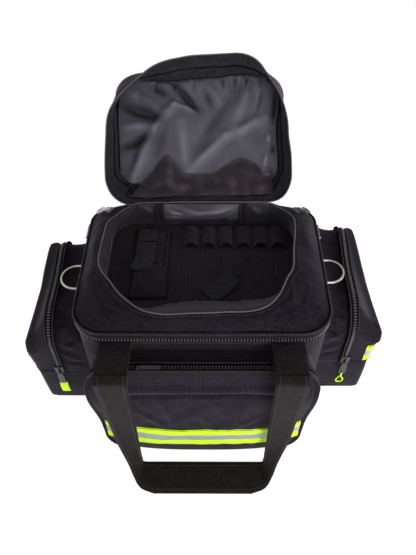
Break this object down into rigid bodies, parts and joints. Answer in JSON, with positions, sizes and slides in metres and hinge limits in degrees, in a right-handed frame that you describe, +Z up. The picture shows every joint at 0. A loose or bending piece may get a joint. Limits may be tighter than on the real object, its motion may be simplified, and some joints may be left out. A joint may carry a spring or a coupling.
{
  "type": "trauma backpack",
  "caption": "Soft box-shaped emergency bag with an open hooded top pocket, zipped side and front pockets, reflective bands, carrying handles, D-rings and a shoulder harness.",
  "frame": {"origin": "on the floor, under the middle of the main compartment", "axes": "+Z up, -Y out of the front pocket, +X to the right seen from the front"},
  "size_m": [0.6058, 0.6199, 0.4726],
  "materials": {
    "cloth": "matt woven polyester, black",
    "board": "stiff board",
    "coil": "moulded zip coil on tape",
    "webbing": "ribbed black webbing",
    "elastic": "knitted elastic",
    "lining": "grey satin nylon",
    "padding": "padded mesh cloth",
    "reflective": "lime tape with a silver reflective stripe",
    "lime": "lime woven cord and tag",
    "nickel": "nickel-plated steel",
    "black_metal": "black lacquered zinc",
    "leather": "black pull tape",
    "puller": "moulded pale plastic",
    "plastic": "moulded acetal"
  },
  "bodies": {
    "bag": {"base_panel": "cloth", "base_stiffener": "board", "front_wall": "cloth", "rear_wall": "cloth", "left_wall": "cloth", "right_wall": "cloth", "main_zip": "coil", "front_pocket_gusset": "cloth", "front_pocket_top": "cloth", "front_pocket_zip": "coil", "front_band_ends": "reflective", "left_pocket_tub": "cloth", "left_pocket_zip": "coil", "right_pocket_tub": "cloth", "right_pocket_zip": "coil", "handle_anchors": "webbing", "ring_tabs": "webbing", "back_pad": "padding", "shoulder_straps": "padding", "lower_straps": "webbing", "strap_buckles": "plastic"},
    "main_lid": {"lid_border": "cloth", "lid_piping": "webbing", "pocket_lining": "cloth", "pocket_floor": "cloth", "pocket_zip": "coil", "elastic_loops": "elastic", "scissor_sheath": "cloth", "sheath_strap": "webbing", "hinge_strip": "lining", "hinge_tapes": "webbing", "hood_sliders": "nickel"},
    "hood": {"hood_shell": "cloth", "hood_lining": "lining", "hood_zip": "coil"},
    "front_cover": {"front_panel": "cloth", "front_band": "reflective"},
    "left_cover": {"left_pocket_cover": "cloth", "left_pocket_band": "reflective"},
    "right_cover": {"right_pocket_cover": "cloth", "right_pocket_band": "reflective"},
    "front_handle": {"front_handle": "webbing"},
    "rear_handle": {"rear_handle": "webbing"},
    "left_ring": {"left_ring": "nickel"},
    "right_ring": {"right_ring": "nickel"},
    "left_main_slider": {"left_main_slider": "nickel"},
    "left_main_pull": {"left_main_pull": "nickel"},
    "right_main_slider": {"right_main_slider": "nickel"},
    "right_main_pull": {"right_main_pull": "nickel"},
    "left_slider": {"left_slider": "black_metal"},
    "left_pull": {"left_pull": "leather", "left_pull_tag": "lime"},
    "right_slider": {"right_slider": "black_metal"},
    "right_pull": {"right_pull": "leather", "right_pull_cord": "lime"},
    "front_slider": {"front_slider": "black_metal"},
    "front_pull": {"front_pull": "leather"},
    "left_hood_pull": {"left_hood_pull": "puller"},
    "right_hood_pull": {"right_hood_pull": "puller"},
    "keeper_tab": {"keeper_tab": "webbing"}
  },
  "joints": [
    {"name": "main_lid_hinge", "type": "hinge", "parent": "bag", "child": "main_lid", "pos_m": [0, 0.139, 0.2637], "axis": [-1, 0, 0], "range_deg": [0, 75]},
    {"name": "hood_hinge", "type": "hinge", "parent": "main_lid", "child": "hood", "pos_m": [0, 0.131, 0.3], "axis": [1, 0, 0], "range_deg": [0, 137]},
    {"name": "front_pocket_mouth", "type": "hinge", "parent": "bag", "child": "front_cover", "pos_m": [0, -0.2065, 0.009], "axis": [1, 0, 0], "range_deg": [0, 5]},
    {"name": "left_cover_hinge", "type": "hinge", "parent": "bag", "child": "left_cover", "pos_m": [-0.302, 0, 0.095], "axis": [0, -1, 0], "range_deg": [0, 85]},
    {"name": "right_cover_hinge", "type": "hinge", "parent": "bag", "child": "right_cover", "pos_m": [0.302, 0.022, 0.095], "axis": [0, 1, 0], "range_deg": [0, 85]},
    {"name": "front_handle_swing", "type": "hinge", "parent": "bag", "child": "front_handle", "pos_m": [0, -0.2125, 0.2445], "axis": [-1, 0, 0], "range_deg": [0, 165]},
    {"name": "rear_handle_swing", "type": "hinge", "parent": "bag", "child": "rear_handle", "pos_m": [0, 0.147, 0.251], "axis": [-1, 0, 0], "range_deg": [-110, 0]},
    {"name": "left_ring_swing", "type": "hinge", "parent": "bag", "child": "left_ring", "pos_m": [-0.2046, 0, 0.244], "axis": [0, 1, 0], "range_deg": [-18, 60]},
    {"name": "right_ring_swing", "type": "hinge", "parent": "bag", "child": "right_ring", "pos_m": [0.2046, 0.014, 0.244], "axis": [0, -1, 0], "range_deg": [-18, 60]},
    {"name": "left_main_zip", "type": "slide", "parent": "bag", "child": "left_main_slider", "axis": [0, -1, 0], "range_m": [0, 0.15]},
    {"name": "left_main_pull_swing", "type": "hinge", "parent": "left_main_slider", "child": "left_main_pull", "pos_m": [-0.2065, 0.0785, 0.2618], "axis": [-1, 0, 0], "range_deg": [-30, 40]},
    {"name": "right_main_zip", "type": "slide", "parent": "bag", "child": "right_main_slider", "axis": [0, -1, 0], "range_m": [0, 0.15]},
    {"name": "right_main_pull_swing", "type": "hinge", "parent": "right_main_slider", "child": "right_main_pull", "pos_m": [0.2065, 0.0785, 0.2618], "axis": [-1, 0, 0], "range_deg": [-30, 40]},
    {"name": "left_pocket_zip_slide", "type": "slide", "parent": "bag", "child": "left_slider", "axis": [0, 0, 1], "range_m": [0, 0.07]},
    {"name": "left_pull_swing", "type": "hinge", "parent": "left_slider", "child": "left_pull", "pos_m": [-0.257, -0.1, 0.107], "axis": [0, 1, 0], "range_deg": [-50, 50]},
    {"name": "right_pocket_zip_slide", "type": "slide", "parent": "bag", "child": "right_slider", "axis": [0, 0, 1], "range_m": [0, 0.07]},
    {"name": "right_pull_swing", "type": "hinge", "parent": "right_slider", "child": "right_pull", "pos_m": [0.257, -0.078, 0.107], "axis": [0, 1, 0], "range_deg": [-50, 50]},
    {"name": "front_zip_slide", "type": "slide", "parent": "bag", "child": "front_slider", "axis": [1, 0, 0], "range_m": [0, 0.184]},
    {"name": "front_pull_swing", "type": "hinge", "parent": "front_slider", "child": "front_pull", "pos_m": [-0.092, -0.17767, 0.23548], "axis": [0, 0.1045, 0.9945], "range_deg": [-35, 35]},
    {"name": "left_hood_pull_swing", "type": "hinge", "parent": "main_lid", "child": "left_hood_pull", "pos_m": [-0.16639, 0.11036, 0.29565], "axis": [-0.4705, 0.2716, 0.8395], "range_deg": [-35, 35]},
    {"name": "right_hood_pull_swing", "type": "hinge", "parent": "main_lid", "child": "right_hood_pull", "pos_m": [0.16639, 0.11036, 0.29565], "axis": [0.4705, 0.2716, 0.8395], "range_deg": [-35, 35]},
    {"name": "keeper_tab_flap", "type": "hinge", "parent": "main_lid", "child": "keeper_tab", "pos_m": [0.01025, -0.05041, 0.2508], "axis": [0.682, -0.7314, 0], "range_deg": [0, 100]}
  ]
}
